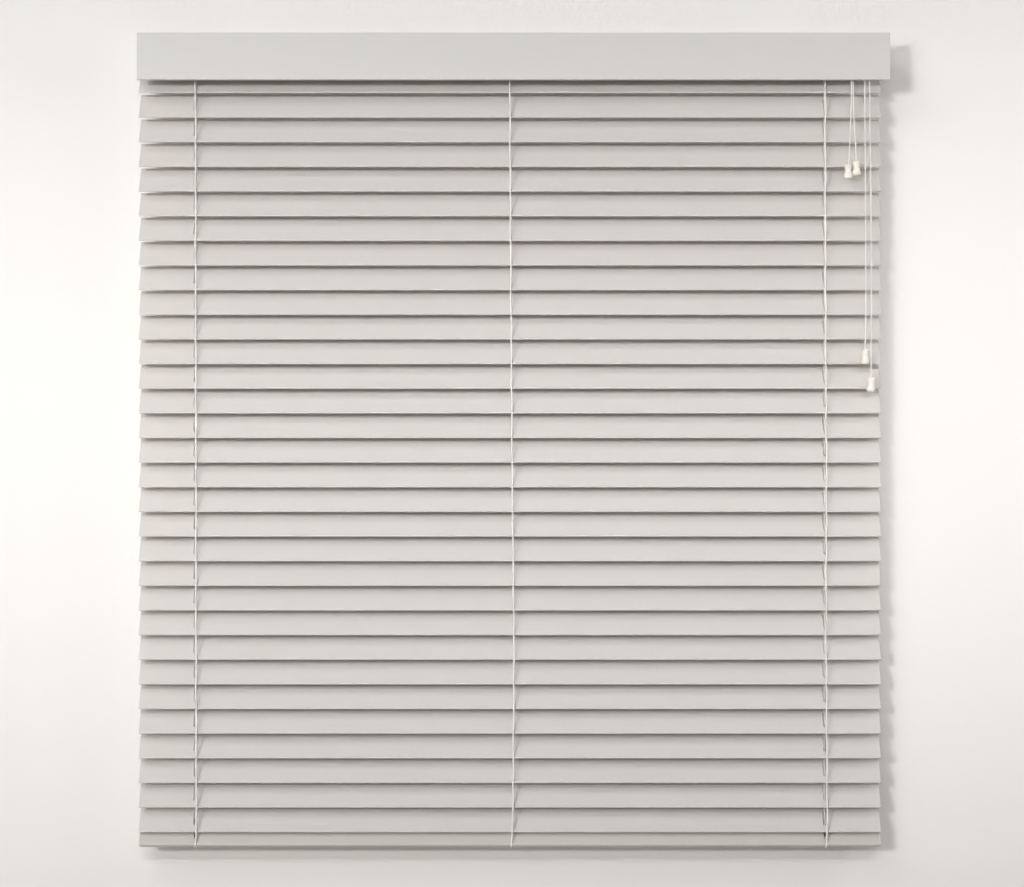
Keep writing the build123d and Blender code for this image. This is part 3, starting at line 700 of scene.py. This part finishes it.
threadLength = threadSet["back"] - threadSet["front"]
threadTurns = threadLength / threadSet["lead"]
bare = bpy.data.meshes.new("threadHolder")
holder = bpy.data.objects.new("threadHolder", bare)
scene.collection.objects.link(holder)
thread = grown(holder, threadTree(), "worm_thread", Steps=threadSet["stepsPerTurn"], Turns=threadTurns,
               Length=threadLength, Starts=threadSet["starts"], Phase=threadSet["phase"], Finish=gearPlastic,
               Place=(threadSet["axisX"], threadSet["front"], threadSet["axisZ"]),
               **{"Winding Radius": threadSet["centreRadius"], "Ridge Radius": threadSet["ridgeRadius"]})
bpy.data.objects.remove(holder)
bpy.data.meshes.remove(bare)
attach(thread, "tilt_worm")
print("worm thread made")

# Tilt cord inside the nose: up from both exits and once round the pulley
turnSet = {"radius": 0.0009, "winding": 0.0068, "exitHalf": 0.002, "corners": 8}
wide = turnSet["winding"] / math.cos(math.pi / turnSet["corners"])
corners = [2 * math.pi * (i + 0.5) / turnSet["corners"] - math.pi / 2 for i in range(turnSet["corners"])]
loop = [(threadSet["axisX"] - wide * math.cos(a), pullSet["plane"], threadSet["axisZ"] + wide * math.sin(a))
        for a in corners]
ends = [(threadSet["axisX"] + side * turnSet["exitHalf"], pullSet["plane"], pullSet["exitZ"]) for side in (-1, 1)]
route = routeCurve("turnRoute", [ends[0]] + loop + [ends[1]])
turned = grown(route, cordSweep, "tilt_cord_turn", Radius=turnSet["radius"], Step=pullSet["step"],
               Sides=pullSet["sides"], Finish=cordYarn)
dropRoute(route)
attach(turned, rootBody)
print("pulley turn made")

# Stage: a pale wall close behind and a pale floor far below, each seen only from the room side
stageSet = {"wallY": 0.050, "wallTop": 4.0, "floorZ": -2.1, "span": 14.0, "wall": "F5F2EE", "floor": "C9C7C2"}


def stagePlane(name, corners, finish):
    mesh = bpy.data.meshes.new(name)
    mesh.from_pydata(corners, [], [(0, 1, 2, 3)])
    mesh.materials.append(finish)
    made = bpy.data.objects.new(name, mesh)
    scene.collection.objects.link(made)


# Matt wall paint that shows its front only and lets light through, so the back and underside can be seen and lit
def stagePaint(name, hexText):
    made, tree, shader = newMaterial(name, 0.9)
    shader.inputs["Base Color"].default_value = linear(hexText)
    sideSeen = addNode(tree, "ShaderNodeNewGeometry")
    lightPath = addNode(tree, "ShaderNodeLightPath")
    clear = addNode(tree, "ShaderNodeBsdfTransparent")
    either = addNode(tree, "ShaderNodeMath",
                     {0: sideSeen.outputs["Backfacing"], 1: lightPath.outputs["Is Shadow Ray"]}, operation="MAXIMUM")
    oneSided = addNode(tree, "ShaderNodeMixShader", {0: either.outputs[0], 1: shader.outputs[0], 2: clear.outputs[0]})
    tree.links.new(oneSided.outputs[0], tree.nodes["Material Output"].inputs["Surface"])
    return made


s, y, f, t = stageSet["span"] / 2, stageSet["wallY"], stageSet["floorZ"], stageSet["wallTop"]
stagePlane("wall", [(-s, y, f), (s, y, f), (s, y, t), (-s, y, t)], stagePaint("wallPaint", stageSet["wall"]))
stagePlane("floor", [(-s, -s, f), (s, -s, f), (s, s, f), (-s, s, f)], stagePaint("floorPaint", stageSet["floor"]))

# Soft studio light: a far key from the left with a low fill beside it, two high fills, a strip, a right fill and a
# weak back light, each as name, place, target, size, power in watts and spread in degrees
lights = (
    ("key", (-3.4, -8.0, 0.7), (0.0, 0.0, -0.65), (1.0, 0.6), 236.0, 180),
    ("keyFill", (-5.2, -8.0, -0.2), (0.0, 0.0, -0.65), (1.4, 1.0), 69.0, 180),
    ("high", (-2.5, -5.0, 3.0), (0.0, 0.0, -0.65), (2.0, 1.5), 35.0, 180),
    ("highNear", (-1.6, -2.4, 1.6), (0.0, 0.0, -0.65), (2.0, 1.0), 19.5, 180),
    ("strip", (0.0, -3.0, 0.25), (0.0, 0.0, -0.68), (3.2, 0.5), 5.2, 39),
    ("sideRight", (1.9, -1.2, 0.3), (0.0, 0.0, -0.6), (0.5, 0.9), 8.0, 180),
    ("back", (0.6, 2.6, 0.4), (0.0, 0.0, -0.65), (1.6, 1.6), 3.0, 180),
)
for name, place, target, size, power, spread in lights:
    data = bpy.data.lights.new(name, "AREA")
    data.shape = "RECTANGLE"
    data.size, data.size_y = size
    data.energy = power
    data.spread = math.radians(spread)
    lamp = bpy.data.objects.new(name, data)
    lamp.location = place
    lamp.rotation_euler = (Vector(target) - Vector(place)).to_track_quat("-Z", "Y").to_euler()
    scene.collection.objects.link(lamp)
worldSet = {"colour": "FFFDFA", "strength": 0.03}
world = bpy.data.worlds.new("softRoom")
world.use_nodes = True
backdrop = world.node_tree.nodes["Background"]
backdrop.inputs["Color"].default_value = linear(worldSet["colour"])
backdrop.inputs["Strength"].default_value = worldSet["strength"]
scene.world = world
scene.view_settings.view_transform = "Standard"
print("stage and lights set")
